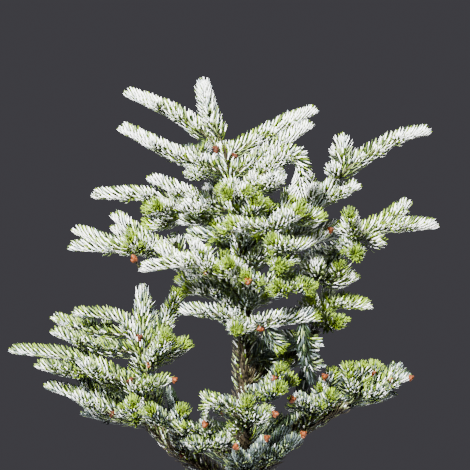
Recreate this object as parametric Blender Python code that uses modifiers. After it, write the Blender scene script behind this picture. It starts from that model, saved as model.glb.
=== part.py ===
# Young Korean fir in a plain grower's pot.
# World axes: +Z up, X to the right as seen from the front, Y away from the front, origin under the pot's middle.
# Lengths are in millimetres, angles in degrees; MM turns them into Blender's metres.
import math
import random

import bmesh
import bpy
import numpy as np
from mathutils import Matrix, Vector

MM = 0.001
GAP = 0.3

# Pot and compost
POT_HEIGHT = 165.0
POT_TOP_RADIUS = 95.0
POT_FOOT_RADIUS = 73.0
POT_WALL = 2.2
POT_FLOOR = 2.6
RIM_HEIGHT = 14.0
RIM_OUT = 3.0
RIM_ROUND = 0.8
FOOT_CHAMFER = 2.0
SOIL_TOP = 150.0
SOIL_EDGE = 4.0
SOIL_DROP = 2.4
SOIL_GAP = 0.36
LATHE_STEPS = 36

# Trunk: height, sideways lean and radius
TRUNK = (
    (150.3, 0.0, 11.0), (157.0, 0.0, 8.2), (172.0, 0.3, 7.0), (240.0, 1.0, 6.3), (308.0, 1.0, 5.7),
    (385.0, 3.0, 4.9), (468.0, -5.0, 3.9), (531.0, -17.0, 2.9), (545.0, -20.0, 2.5),
)
TRUNK_SIDES = 10
LIMB_SIDES = 8
STEM_SIDES = 6
TWIG_SIDES = 4

# Shoots
STEM_RADIUS = 1.7
TWIG_RADIUS = 1.25
STATION = 6.0
LIMB_STATION = 12.0
TWIG_STATION = 15.0
TWIG_BOW = 6.0
LEAST_TWIG_POINTS = 4
LEAST_COVER_POINTS = 3
STEM_BARE = 8.0
TWIG_BARE = 2.0
LEAST_COVER = 3.2
COVER_PLACES = (0.0, 0.10, 0.35, 0.80, 0.94, 1.0)
COVER_SHARES = (1.1, 1.25, 1.2, 1.05, 0.82, 0.45)
CORE_SHARE = 0.80
CORE_SIDES = 6
END_RING = 8.0
RING_STEP = 40.0
BENT_STEP = 18.0
BENT_OVER = 35.0
NEEDLE_PITCH = 25.0
NEEDLE_RADIUS = 1.25
NEEDLE_TURN = 137.5
NEEDLE_SUNK = 0.5
FIRST_NEEDLE = 0.4
LAST_NEEDLE = 0.5
WELD = 0.01
CUT_GAP = 0.33
SCRAP_CORNERS = 12
MASS_SOLVER = "MANIFOLD"
NEEDLE_TILT = 40.0
SPACE_GAP = 0.5
LOWEST_NEEDLE = 168.0

# Bare boughs: height on the trunk, foot radius, tip radius, legs of (bearing, rise, length)
BOUGHS = {
    "right_high": (457, 3.3, 2.2, ((7, 12, 63), (9, 44, 51))),
    "right_mid": (385, 3.3, 2.2, ((357, 24, 79), (350, 45, 48))),
    "right_low": (301, 3.4, 2.2, ((5, 28, 46), (358, 46, 46))),
    "inner_right": (436, 3.3, 2.2, ((21, 35, 75),)),
    "left_high": (452, 3.3, 2.2, ((188, 30, 49),)),
    "left_mid": (402, 3.3, 2.2, ((194, 27, 67),)),
    "front_high": (446, 3.3, 2.2, ((277, 28, 37),)),
    "front_mid": (378, 3.3, 2.2, ((289, 37, 58),)),
    "front_low": (262, 3.3, 2.2, ((276, 15, 54),)),
    "front_left": (222, 3.3, 2.2, ((236, 26, 59),)),
    "west": (188, 4.8, 2.8, ((194, 33, 69), (189, 43, 52))),
    "east": (188, 4.8, 2.5, ((349, 49, 77), (347, 35, 66))),
}

# Masses of foliage: host limb, place on it (height on the trunk, share of a bough), legs of the stem
# as (bearing, rise, length), radius of the needle cover, and twigs as (share of the stem, bearing,
# rise, length, radius of the cover)
MASSES = {
    "leader": ("trunk", 545, ((180, 66, 30), (180, 78, 38)), 9.5, ()),
    "top_left": ("trunk", 540, ((186, 36, 53), (186, 25, 60)), 9.5, ()),
    "top_right": ("trunk", 532, ((10, 28, 51), (5, 25, 51)), 9.5, ()),
    "top_left_low": ("trunk", 517, ((202, 19, 64), (191, 28, 57)), 10.0, ((0.22, 247, -10, 38, 8.5),)),
    "top_right_low": ("trunk", 514, ((331, 28, 42), (348, 35, 60)), 9.5, ()),
    "top_front": ("trunk", 500, ((270, 10, 39), (260, -6, 39)), 8.5, ((0.35, 291, 3, 46, 8.5),)),
    "arch": (
        "trunk", 486, ((308, 37, 54), (324, 39, 35), (331, -33, 20), (252, -71, 36)), 9.5,
        ((0.24, 299, 15, 63, 8),),
    ),
    "shoulder_left": (
        "trunk", 476, ((195, 21, 40), (191, 24, 57)), 9.0,
        ((0.3, 158, 12, 46, 8.5), (0.26, 226, 5, 50, 9), (0.12, 205, -10, 56, 8.5)),
    ),
    "right_high": (
        "right_high", 1, ((4, 47, 21), (357, 31, 49), (355, 17, 38)), 9.5,
        ((0.12, 103, 78, 38, 11.5), (0.08, 244, 22, 34, 8.5)),
    ),
    "inner_right": (
        "inner_right", 1, ((345, 17, 24), (351, 22, 43)), 10.0,
        ((0.1, 76, 52, 39, 8), (0.05, 301, 40, 41, 8)),
    ),
    "centre_right": (
        "trunk", 464, ((310, -3, 39), (306, 26, 39), (300, 24, 35)), 10.5,
        ((0.56, 209, 6, 59, 8.5), (0.5, 16, 67, 43, 8.5), (0.72, 358, 6, 38, 7.5), (0.36, 303, 75, 42, 8.5)),
    ),
    "left_high": (
        "left_high", 1, ((183, 24, 40), (183, 2, 67)), 9.0,
        ((0.22, 200, -8, 36, 9), (0.16, 243, 7, 58, 9), (0.06, 180, -19, 53, 9.5)),
    ),
    "left_mid": (
        "left_mid", 1, ((188, 13, 47), (184, 2, 70)), 9.0,
        ((0.3, 167, 12, 84, 9), (0.28, 241, 25, 55, 9), (0.02, 215, 63, 30, 9.5), (0.25, 173, 28, 52, 8.5),
         (0.12, 200, 36, 76, 10)),
    ),
    "left_mid_front": (
        "trunk", 384, ((221, 40, 72), (200, 0, 65)), 9.5,
        ((0.38, 198, 26, 78, 9), (0.3, 237, 40, 76, 9)),
    ),
    "front_high": (
        "front_high", 1, ((300, 58, 22), (286, 38, 29)), 9.5,
        ((0.4, 208, 14, 23, 8), (0.04, 198, -3, 61, 9)),
    ),
    "front_mid_right": (
        "trunk", 418, ((299, 28, 44), (337, 18, 44), (8, 25, 30)), 8.0,
        ((0.36, 221, 14, 51, 9), (0.72, 224, 14, 46, 9), (0.5, 277, -11, 46, 8.5)),
    ),
    "front_mid_left": ("trunk", 394, ((260, 35, 52), (256, 20, 50)), 10, ((0.5, 216, 21, 37, 8),)),
    "front_mid": (
        "front_mid", 1, ((336, 5, 30), (303, 0, 38)), 9.0,
        ((0.5, 239, 4, 38, 9), (0.08, 232, 21, 43, 8.5), (0.04, 352, 42, 46, 8.5)),
    ),
    "right_mid": (
        "right_mid", 1, ((355, 26, 26), (357, 3, 61)), 9.0,
        ((0.12, 16, 30, 60, 9.5), (0.06, 257, 31, 62, 9.5), (0.1, 321, -10, 31, 9), (0.03, 268, -12, 51, 9)),
    ),
    "right_under": (
        "right_mid", 0.55, ((338, -7, 28), (349, 15, 23)), 8.5,
        ((0.2, 262, 36, 46, 8), (0.5, 293, 52, 30, 9)),
    ),
    "right_low": (
        "right_low", 1, ((346, 58, 30), (340, 4, 42)), 9.0,
        ((0.2, 289, 5, 49, 9), (0.08, 253, 46, 53, 8), (0.1, 18, 74, 40, 9)),
    ),
    "belt_right": (
        "trunk", 347, ((290, 29, 56), (344, 11, 60)), 9.5,
        ((0.84, 56, -74, 74, 9), (0.5, 321, -46, 36, 9)),
    ),
    "belt_left": ("trunk", 364, ((226, 21, 36), (183, 7, 43)), 9.5, ((0.25, 273, 1, 59, 10),)),
    "under_left": ("trunk", 371, ((194, 40, 42), (187, 1, 34)), 9.0, ((0.3, 142, 24, 46, 8.5),)),
    "shade_right": ("trunk", 322, ((347, 29, 30), (345, 11, 32)), 9.5, ((0.3, 328, -24, 33, 9),)),
    "west_low": (
        "west", 1, ((191, 29, 46), (187, 21, 69)), 9.0,
        ((0.3, 172, 38, 54, 9), (0.18, 205, 26, 75, 8.5), (0.12, 265, 37, 55, 9)),
    ),
    "west_mid": (
        "west", 0.9, ((208, 63, 54), (178, 29, 66), (173, 6, 70)), 9.0,
        ((0.5, 195, 7, 67, 8.5), (0.36, 215, 29, 61, 9), (0.3, 158, 32, 69, 9), (0.33, 342, 14, 47, 8.5),
         (0.32, 147, -3, 48, 9)),
    ),
    "west_high": (
        "west", 0.8, ((166, 73, 75), (170, 66, 55), (189, 12, 52)), 10,
        ((0.62, 170, 10, 87, 8.5), (0.52, 194, 17, 93, 9), (0.5, 86, 76, 71, 11), (0.5, 18, 58, 79, 11),
         (0.42, 300, 44, 70, 9.5), (0.46, 343, 27, 57, 9), (0.36, 172, 14, 44, 9)),
    ),
    "west_inner": (
        "west", 0.55, ((248, 53, 54), (292, 49, 36)), 8.5,
        ((0.7, 232, 28, 53, 8.5), (0.06, 132, -12, 40, 8)),
    ),
    "front_low": (
        "front_low", 1, ((225, 40, 29), (207, 18, 23), (224, -32, 17)), 8.5,
        ((0.2, 309, 14, 44, 9), (0.1, 272, 44, 40, 8.5), (0.06, 231, -4, 31, 8.5)),
    ),
    "front_left": (
        "front_left", 1, ((221, 45, 26), (197, 13, 35)), 8.5,
        ((0.1, 240, 15, 44, 9), (0.1, 289, 22, 51, 8.5), (0.12, 263, 51, 43, 8)),
    ),
    "front_base": (
        "trunk", 198, ((280, 36, 58), (290, 41, 54)), 9.0,
        ((0.4, 256, 30, 65, 8.5), (0.5, 336, 33, 64, 8.5), (0.3, 355, 49, 64, 8.5)),
    ),
    "east": (
        "east", 1, ((353, 32, 39), (356, 18, 34)), 8.5,
        ((0.45, 25, 36, 39, 8), (0.2, 39, 50, 44, 9), (0.12, 247, 74, 44, 10), (0.15, 18, 76, 41, 9),
         (0.3, 308, 22, 38, 8)),
    ),
    "east_inner": (
        "east", 0.62, ((311, 57, 44), (296, 60, 32)), 8.5,
        ((0.4, 248, 30, 52, 9), (0.5, 289, 26, 52, 9), (0.45, 349, 64, 48, 9)),
    ),
    "east_front": (
        "trunk", 286, ((296, 21, 43), (335, 25, 42)), 9.0,
        ((0.5, 298, 40, 57, 8.5), (0.4, 291, 19, 70, 9)),
    ),
}

# Masses at the back, whose twigs are all grown by the seeded rule: host, place, legs, cover radius, seed
BACK_MASSES = {
    "back_top_right": ("trunk", 496, ((58, 14, 44), (62, 16, 46)), 9.5, 1),
    "back_top_left": ("trunk", 508, ((122, 12, 46), (116, 16, 48)), 9.5, 9),
    "back_shoulder": ("trunk", 468, ((86, 20, 58), (92, 12, 66)), 9.5, 7),
    "back_mid": ("trunk", 396, ((84, 22, 70), (80, 8, 74)), 9.5, 14),
    "back_mid_right": ("trunk", 410, ((52, 28, 64), (52, 12, 70)), 9.5, 48),
    "back_mid_left": ("trunk", 350, ((122, 32, 62), (110, 14, 66)), 9.5, 52),
    "back_low": ("trunk", 220, ((84, 6, 80), (90, 0, 74)), 9.5, 28),
    "back_low_right": ("trunk", 276, ((62, 28, 68), (70, 8, 66)), 9.5, 42),
    "back_low_left": ("trunk", 206, ((150, 27, 72), (148, 16, 70), (138, 2, 50)), 9.5, 22),
    "back_east": ("trunk", 210, ((24, 34, 84), (27, 28, 66), (24, 2, 42)), 9.5, 59),
}
FAN_SHARES = (0.36, 0.58, 0.78)
FAN_TURN = 52.0
FAN_LENGTH = 0.42
FAN_SHARE_SHIFT = 0.04
FAN_TURN_SHIFT = 9.0
FAN_RISE_SHIFT = (-16.0, 14.0)
FAN_TAPER = (1.25, 0.5)
FAN_LENGTH_SHIFT = (0.85, 1.1)
FAN_GIRTH = 0.95

# Colours: base colour, roughness
POT_LOOK = ((0.035, 0.037, 0.040), 0.55)
SOIL_LOOK = ((0.075, 0.045, 0.028), 0.95)
BARK_LOOK = ((0.20, 0.145, 0.095), 0.85)
FOLIAGE_LOOK = ((0.42, 0.52, 0.38), 0.7)


def heading(bearing, rise):
    turn, lift = math.radians(bearing), math.radians(rise)
    return Vector((math.cos(turn) * math.cos(lift), math.sin(turn) * math.cos(lift), math.sin(lift)))


def walk(start, legs):
    points = [start.copy()]
    for bearing, rise, length in legs:
        points.append(points[-1] + heading(bearing, rise) * length)
    return points


def smoothed(points, step):
    # Points about `step` apart on a smooth curve through the given ones.
    ends = [points[0] * 2 - points[1]] + points + [points[-1] * 2 - points[-2]]
    made = []
    for a, b, c, d in zip(ends, ends[1:], ends[2:], ends[3:]):
        count = max(2, round((c - b).length / step))
        for i in range(count):
            t = i / count
            made.append(
                0.5 * (2 * b + (c - a) * t + (2 * a - 5 * b + 4 * c - d) * t * t + (3 * b - a - 3 * c + d) * t ** 3)
            )
    return made + [points[-1].copy()]


def lengths_along(points):
    total, found = 0.0, [0.0]
    for a, b in zip(points, points[1:]):
        total += (b - a).length
        found.append(total)
    return found


def place_on(points, share):
    # The point and the direction at a share of a path's length.
    at = lengths_along(points)
    wanted = share * at[-1]
    for i in range(len(points) - 1):
        if wanted <= at[i + 1] or i == len(points) - 2:
            run = points[i + 1] - points[i]
            return points[i] + run * ((wanted - at[i]) / run.length), run.normalized()


def trunk_at(height):
    for low, high in zip(TRUNK, TRUNK[1:]):
        if height <= high[0]:
            share = (height - low[0]) / (high[0] - low[0])
            return Vector((low[1] + (high[1] - low[1]) * share, 0.0, height))
    return Vector((TRUNK[-1][1], 0.0, TRUNK[-1][0]))


def bough_legs(name):
    height, foot_radius, tip_radius, legs = BOUGHS[name]
    points = smoothed(walk(trunk_at(height), legs), LIMB_STATION)
    at = lengths_along(points)
    radii = [foot_radius + (tip_radius - foot_radius) * d / at[-1] for d in at]
    return points, radii


def fan_twigs(legs, girth, seed):
    # Side twigs in pairs, shorter towards the tip, turned out of the stem's line.
    pick = random.Random(seed)
    length = sum(leg[2] for leg in legs)
    twigs = []
    for share in FAN_SHARES:
        bearing, rise = legs[0][:2] if share < 0.5 else legs[-1][:2]
        for side in (-1, 1):
            twigs.append((
                share + pick.uniform(-FAN_SHARE_SHIFT, FAN_SHARE_SHIFT),
                bearing + side * (FAN_TURN + pick.uniform(-FAN_TURN_SHIFT, FAN_TURN_SHIFT)),
                rise + pick.uniform(*FAN_RISE_SHIFT),
                length * FAN_LENGTH * (FAN_TAPER[0] - FAN_TAPER[1] * share) * pick.uniform(*FAN_LENGTH_SHIFT),
                girth * FAN_GIRTH,
            ))
    return tuple(twigs)


class Space:
    # The room that each limb and mass has taken, as segments with a radius and an owner.
    def __init__(self):
        self.starts, self.ends, self.radii, self.owners = [], [], [], []

    def take(self, points, radii, owner):
        for i in range(len(points) - 1):
            self.starts.append(tuple(points[i]))
            self.ends.append(tuple(points[i + 1]))
            self.radii.append(max(radii[i], radii[i + 1]))
            self.owners.append(owner)

    def room(self, point, mass):
        # How far a point is from everything taken by others.
        keep = np.array([owner != mass for owner in self.owners])
        starts, ends = np.array(self.starts)[keep], np.array(self.ends)[keep]
        run = ends - starts
        share = ((np.array(point) - starts) * run).sum(axis=1) / (run * run).sum(axis=1)
        near = starts + run * np.clip(share, 0.0, 1.0)[:, None]
        return float((np.linalg.norm(near - np.array(point), axis=1) - np.array(self.radii)[keep]).min())


def swell(share):
    # The needle cover's thickness along a shoot: full at the foot, then slimmer to a blunt tip.
    return float(np.interp(share, COVER_PLACES, COVER_SHARES))


def fit_cover(space, points, girth, mass, bare):
    # Points and radii of the outer run of a shoot that has room for needles.
    at = lengths_along(points)
    cover = []
    for i in range(len(points) - 1, -1, -1):
        if at[i] < bare:
            break
        share = (at[i] - bare) / max(at[-1] - bare, 1.0)
        radius = min(girth * swell(share), space.room(points[i], mass) - SPACE_GAP, points[i].z - LOWEST_NEEDLE)
        if radius < LEAST_COVER:
            if len(cover) > 1:
                break
            cover = []
            continue
        cover.append((points[i], radius))
    cover.reverse()
    return [c[0] for c in cover], [c[1] for c in cover]


def grow():
    # Every mass as its stem and its shoots, each shoot a twig and the cover that fits in its space.
    space = Space()
    trunk_points = [Vector((lean, 0.0, height)) for height, lean, _ in TRUNK]
    space.take(trunk_points, [radius for _, _, radius in TRUNK], "trunk")
    for name in BOUGHS:
        points, radii = bough_legs(name)
        space.take(points, radii, "bough_" + name)
    plan = dict(MASSES)
    for name, (host, place, legs, girth, seed) in BACK_MASSES.items():
        plan[name] = (host, place, legs, girth, fan_twigs(legs, girth, seed))
    stems = {}
    for name, (host, place, legs, _, _) in plan.items():
        start = trunk_at(place) if host == "trunk" else place_on(bough_legs(host)[0], place)[0]
        stems[name] = smoothed(walk(start, legs), STATION)
        space.take(stems[name], [STEM_RADIUS] * len(stems[name]), name)
    masses = {}
    for name, (host, _, _, girth, _) in plan.items():
        owner = "trunk" if host == "trunk" else "bough_" + host
        cover, radii = fit_cover(space, stems[name], girth, name, STEM_BARE)
        if len(cover) > 1:
            space.take(cover, radii, name)
        shoots = [(stems[name], STEM_RADIUS, cover, radii)]
        masses[name] = (owner, shoots)
    for name, (_, _, _, _, twigs) in plan.items():
        shoots = masses[name][1]
        for share, bearing, rise, length, twig_girth in twigs:
            foot = place_on(stems[name], share)[0]
            halves = ((bearing, rise - TWIG_BOW, length / 2), (bearing, rise + TWIG_BOW, length / 2))
            line = smoothed(walk(foot, halves), STATION)
            clear = [space.room(point, name) - TWIG_RADIUS - SPACE_GAP for point in line[1:]]
            while clear and min(clear) < 0:
                clear.pop()
                line.pop()
            if len(line) < LEAST_TWIG_POINTS:
                continue
            cover, radii = fit_cover(space, line, twig_girth, name, TWIG_BARE)
            if len(cover) < LEAST_COVER_POINTS:
                continue
            space.take(line, [TWIG_RADIUS] * len(line), name)
            space.take(cover, radii, name)
            shoots.append((line, TWIG_RADIUS, cover, radii))
    return masses


def material(name, look):
    made = bpy.data.materials.new(name)
    made.use_nodes = True
    shader = made.node_tree.nodes["Principled BSDF"]
    shader.inputs["Base Color"].default_value = (*look[0], 1.0)
    shader.inputs["Roughness"].default_value = look[1]
    return made


def place_object(name, mesh, collection):
    made = bpy.data.objects.new(name, mesh)
    collection.objects.link(made)
    return made


def tube(name, points, radii, sides, collection):
    # A closed tube of changing radius along a line of points.
    curve = bpy.data.curves.new(name, "CURVE")
    curve.dimensions = "3D"
    curve.bevel_depth = MM
    curve.bevel_resolution = sides // 2 - 2
    curve.use_fill_caps = True
    spline = curve.splines.new("POLY")
    spline.points.add(len(points) - 1)
    for spot, point, radius in zip(spline.points, points, radii):
        spot.co = (*(point * MM), 1.0)
        spot.radius = radius
    line = place_object(name + "_line", curve, collection)
    mesh = bpy.data.meshes.new_from_object(line.evaluated_get(bpy.context.evaluated_depsgraph_get()))
    place = line.matrix_world.copy()
    bpy.data.objects.remove(line)
    shape = bmesh.new()
    shape.from_mesh(mesh)
    bmesh.ops.remove_doubles(shape, verts=shape.verts, dist=WELD * MM)
    bmesh.ops.recalc_face_normals(shape, faces=shape.faces)
    for face in shape.faces:
        face.smooth = len(face.verts) == 4
    shape.to_mesh(mesh)
    shape.free()
    made = place_object(name, mesh, collection)
    made.matrix_world = place
    return made


def core_of(name, cover, radii, collection):
    # The solid core of a shoot: rings near both ends and between, none wider than the room beside it.
    at = lengths_along(cover)
    bend = math.degrees((cover[1] - cover[0]).angle(cover[-1] - cover[-2]))
    step = BENT_STEP if bend > BENT_OVER else RING_STEP
    marks = [at[-1], at[-1] - END_RING]
    while marks[-1] - step > END_RING:
        marks.append(marks[-1] - step)
    marks = [0.0] + marks[::-1]
    points, widths = [], []
    for i, mark in enumerate(marks):
        points.append(place_on(cover, mark / at[-1])[0])
        low, high = marks[max(i - 1, 0)], marks[min(i + 1, len(marks) - 1)]
        nearby = [r for d, r in zip(at, radii) if (low + mark) / 2 < d < (high + mark) / 2]
        widths.append(CORE_SHARE * min(nearby + [float(np.interp(mark, at, radii))]))
    tube(name, points, widths, CORE_SIDES, collection)
    return points, widths


def needle_spray(name, core, widths, cover, radii, seed, collection):
    # Short tilted needles round a shoot in a spiral, their feet sunk in its core.
    at, core_at = lengths_along(cover), lengths_along(core)
    pick = random.Random(seed)
    shape = bmesh.new()
    tilt = math.radians(NEEDLE_TILT)
    spot, turn = NEEDLE_PITCH * FIRST_NEEDLE, pick.uniform(0, 360)
    while spot < core_at[-1] - NEEDLE_PITCH * LAST_NEEDLE:
        centre, forward = place_on(core, spot / core_at[-1])
        reach = float(np.interp(spot / core_at[-1] * at[-1], at, radii))
        sunk = float(np.interp(spot, core_at, widths)) * NEEDLE_SUNK
        out = Matrix.Rotation(math.radians(turn), 3, forward) @ forward.orthogonal().normalized()
        aim = out * math.cos(tilt) + forward * math.sin(tilt)
        length = (reach - sunk) / math.cos(tilt)
        middle = centre + out * sunk + aim * (length / 2)
        stand = Matrix.Translation(middle * MM) @ aim.to_track_quat("Z", "Y").to_matrix().to_4x4()
        bmesh.ops.create_cone(
            shape, cap_ends=True, segments=3, radius1=NEEDLE_RADIUS * MM, radius2=0.0, depth=length * MM, matrix=stand,
        )
        spot += NEEDLE_PITCH
        turn += NEEDLE_TURN
    bmesh.ops.remove_doubles(shape, verts=shape.verts, dist=WELD * MM)
    mesh = bpy.data.meshes.new(name)
    shape.to_mesh(mesh)
    shape.free()
    return place_object(name, mesh, collection)


def boolean(target, operation, operand, solver):
    # Joins or cuts with an object or with all the objects of a collection, and applies it.
    modifier = target.modifiers.new(operation.lower(), "BOOLEAN")
    modifier.operation = operation
    modifier.solver = solver
    if isinstance(operand, bpy.types.Collection):
        modifier.operand_type = "COLLECTION"
        modifier.collection = operand
    else:
        modifier.object = operand
    done = bpy.data.meshes.new_from_object(target.evaluated_get(bpy.context.evaluated_depsgraph_get()))
    target.modifiers.clear()
    target.data = done


def drop_scraps(made):
    # Takes away needles that a join has left loose.
    shape = bmesh.new()
    shape.from_mesh(made.data)
    left = set(shape.verts)
    while left:
        piece, reached = set(), [left.pop()]
        while reached:
            corner = reached.pop()
            piece.add(corner)
            beside = {edge.other_vert(corner) for edge in corner.link_edges} & left
            left -= beside
            reached.extend(beside)
        if len(piece) < SCRAP_CORNERS:
            bmesh.ops.delete(shape, geom=list(piece), context="VERTS")
    shape.to_mesh(made.data)
    shape.free()


def thinned(points, step):
    # Every so many points of a line, with both its ends.
    keep = max(1, round(step / STATION))
    return points[:-1:keep] + [points[-1]]


def bare_part(line, cover):
    # The part of a twig from its foot to a little inside its needle cover.
    if len(cover) < 2:
        return thinned(line, TWIG_STATION)
    first = min(range(len(line)), key=lambda i: (line[i] - cover[0]).length)
    return thinned(line[:first + 2], TWIG_STATION)


def build_mass(name, shoots, look, parts, cutters):
    # One mass: the stem, then every twig, core and needle joined to it in one union.
    line, radius, cover, radii = shoots[0]
    bare = bare_part(line, cover)
    mass = tube(name, bare, [radius] * len(bare), STEM_SIDES, parts)
    group = bpy.data.collections.new(name + "_sprays")
    cutters.children.link(group)
    for index, (line, radius, cover, radii) in enumerate(shoots):
        label = f"{name}_{index}"
        if index:
            bare = bare_part(line, cover)
            tube(label + "_twig", bare, [radius] * len(bare), TWIG_SIDES, group)
        if len(cover) > 1:
            core, widths = core_of(label + "_core", cover, radii, group)
            needle_spray(label + "_needles", core, widths, cover, radii, len(name) * 100 + index, group)
    if group.objects:
        boolean(mass, "UNION", group, MASS_SOLVER)
    for tool in list(group.objects):
        bpy.data.objects.remove(tool)
    bpy.data.collections.remove(group)
    drop_scraps(mass)
    mass.data.materials.clear()
    mass.data.materials.append(material(name + "_foliage", look))
    return mass


def lathe(name, profile, look, parts):
    # A turned piece: the profile's half outline, in the XZ plane, swept round the upright axis.
    shape = bmesh.new()
    corners = [shape.verts.new((radius * MM, 0.0, height * MM)) for radius, height in profile]
    for a, b in zip(corners, corners[1:]):
        shape.edges.new((a, b))
    mesh = bpy.data.meshes.new(name)
    shape.to_mesh(mesh)
    shape.free()
    made = place_object(name, mesh, parts)
    turn = made.modifiers.new("turn", "SCREW")
    turn.axis = "Z"
    turn.steps = LATHE_STEPS
    turn.render_steps = LATHE_STEPS
    turn.use_merge_vertices = True
    turn.merge_threshold = 0.0001
    turn.use_smooth_shade = True
    made.data.materials.append(material(name, look))
    return made


def pot_radius(height):
    return POT_FOOT_RADIUS + (POT_TOP_RADIUS - POT_FOOT_RADIUS) * height / POT_HEIGHT


def build_pot(parts):
    rim_foot = POT_HEIGHT - RIM_HEIGHT
    rim_top, rim_low = pot_radius(POT_HEIGHT) + RIM_OUT, pot_radius(rim_foot) + RIM_OUT
    pot = (
        (0.0, POT_FLOOR), (pot_radius(POT_FLOOR) - POT_WALL, POT_FLOOR),
        (pot_radius(POT_HEIGHT) - POT_WALL, POT_HEIGHT),
        (rim_top - RIM_ROUND, POT_HEIGHT), (rim_top, POT_HEIGHT - RIM_ROUND),
        (rim_low, rim_foot + RIM_ROUND), (rim_low - RIM_ROUND, rim_foot), (pot_radius(rim_foot), rim_foot),
        (pot_radius(FOOT_CHAMFER), FOOT_CHAMFER), (POT_FOOT_RADIUS - FOOT_CHAMFER, 0.0), (0.0, 0.0),
    )
    lathe("pot", pot, POT_LOOK, parts)
    low, shoulder = POT_FLOOR + GAP, SOIL_TOP - SOIL_DROP
    wide, foot = pot_radius(shoulder) - POT_WALL - GAP, pot_radius(low) - POT_WALL - SOIL_GAP
    soil = ((0.0, SOIL_TOP), (wide - SOIL_EDGE, SOIL_TOP), (wide, shoulder), (foot, low), (0.0, low))
    lathe("compost", soil, SOIL_LOOK, parts)


def main():
    for old in list(bpy.data.objects):
        bpy.data.objects.remove(old)
    parts = bpy.data.collections.new("korean_fir")
    cutters = bpy.data.collections.new("cutters")
    cutters.hide_render = True
    for group in (parts, cutters):
        bpy.context.scene.collection.children.link(group)
    build_pot(parts)
    trunk_points = [Vector((lean, 0.0, height)) for height, lean, _ in TRUNK]
    trunk_radii = [radius for _, _, radius in TRUNK]
    limbs = {"trunk": (trunk_points, trunk_radii, TRUNK_SIDES)}
    for name in BOUGHS:
        limbs["bough_" + name] = (*bough_legs(name), LIMB_SIDES)
    solids, tools = {}, {}
    for name, (points, radii, sides) in limbs.items():
        kept = points if name == "trunk" else thinned(points, LIMB_STATION)
        widths = radii if name == "trunk" else [radii[points.index(p)] for p in kept]
        solids[name] = tube(name, kept, widths, sides, parts)
        solids[name].data.materials.append(material(name, BARK_LOOK))
        past = kept[:-1] + [kept[-1] + (kept[-1] - kept[-2]).normalized() * GAP]
        tools[name] = tube(name + "_cutter", past, [w + CUT_GAP for w in widths], sides, cutters)
        tools[name].hide_render = True
        tools[name].display_type = "WIRE"
    for name in BOUGHS:
        boolean(solids["bough_" + name], "DIFFERENCE", tools["trunk"], "EXACT")
    for name, (owner, shoots) in grow().items():
        mass = build_mass("mass_" + name, shoots, FOLIAGE_LOOK, parts, cutters)
        boolean(mass, "DIFFERENCE", tools[owner], MASS_SOLVER)


main()
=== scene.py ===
# Young Korean fir in a plain grower's pot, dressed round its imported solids.
import itertools
import math
import random

import bmesh
import bpy
import numpy as np
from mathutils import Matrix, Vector, noise


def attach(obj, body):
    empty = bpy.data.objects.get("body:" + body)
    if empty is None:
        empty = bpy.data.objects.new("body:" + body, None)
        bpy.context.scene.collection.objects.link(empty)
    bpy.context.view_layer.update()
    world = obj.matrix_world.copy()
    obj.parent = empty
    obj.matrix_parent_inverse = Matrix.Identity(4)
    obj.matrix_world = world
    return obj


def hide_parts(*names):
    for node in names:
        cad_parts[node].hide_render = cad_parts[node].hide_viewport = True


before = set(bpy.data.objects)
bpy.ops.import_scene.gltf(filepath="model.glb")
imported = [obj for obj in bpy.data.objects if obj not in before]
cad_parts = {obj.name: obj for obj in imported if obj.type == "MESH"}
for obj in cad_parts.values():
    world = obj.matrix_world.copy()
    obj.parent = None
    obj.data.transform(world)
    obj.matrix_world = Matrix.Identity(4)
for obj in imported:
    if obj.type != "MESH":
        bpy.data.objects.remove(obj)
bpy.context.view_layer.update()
mm = 0.001
print("frame:", len(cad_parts), "nodes")

# the plant's plan, the same as in the solids: millimetres and degrees

# height, sideways lean, radius
trunkLine = (
    (150.3, 0.0, 11.0), (157.0, 0.0, 8.2), (172.0, 0.3, 7.0), (240.0, 1.0, 6.3), (308.0, 1.0, 5.7),
    (385.0, 3.0, 4.9), (468.0, -5.0, 3.9), (531.0, -17.0, 2.9), (545.0, -20.0, 2.5),
)

# height on the trunk, foot radius, tip radius, legs of (bearing, rise, length)
boughPlan = {
    "right_high": (457, 3.3, 2.2, ((7, 12, 63), (9, 44, 51))),
    "right_mid": (385, 3.3, 2.2, ((357, 24, 79), (350, 45, 48))),
    "right_low": (301, 3.4, 2.2, ((5, 28, 46), (358, 46, 46))),
    "inner_right": (436, 3.3, 2.2, ((21, 35, 75),)),
    "left_high": (452, 3.3, 2.2, ((188, 30, 49),)),
    "left_mid": (402, 3.3, 2.2, ((194, 27, 67),)),
    "front_high": (446, 3.3, 2.2, ((277, 28, 37),)),
    "front_mid": (378, 3.3, 2.2, ((289, 37, 58),)),
    "front_low": (262, 3.3, 2.2, ((276, 15, 54),)),
    "front_left": (222, 3.3, 2.2, ((236, 26, 59),)),
    "west": (188, 4.8, 2.8, ((194, 33, 69), (189, 43, 52))),
    "east": (188, 4.8, 2.5, ((349, 49, 77), (347, 35, 66))),
}

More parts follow.
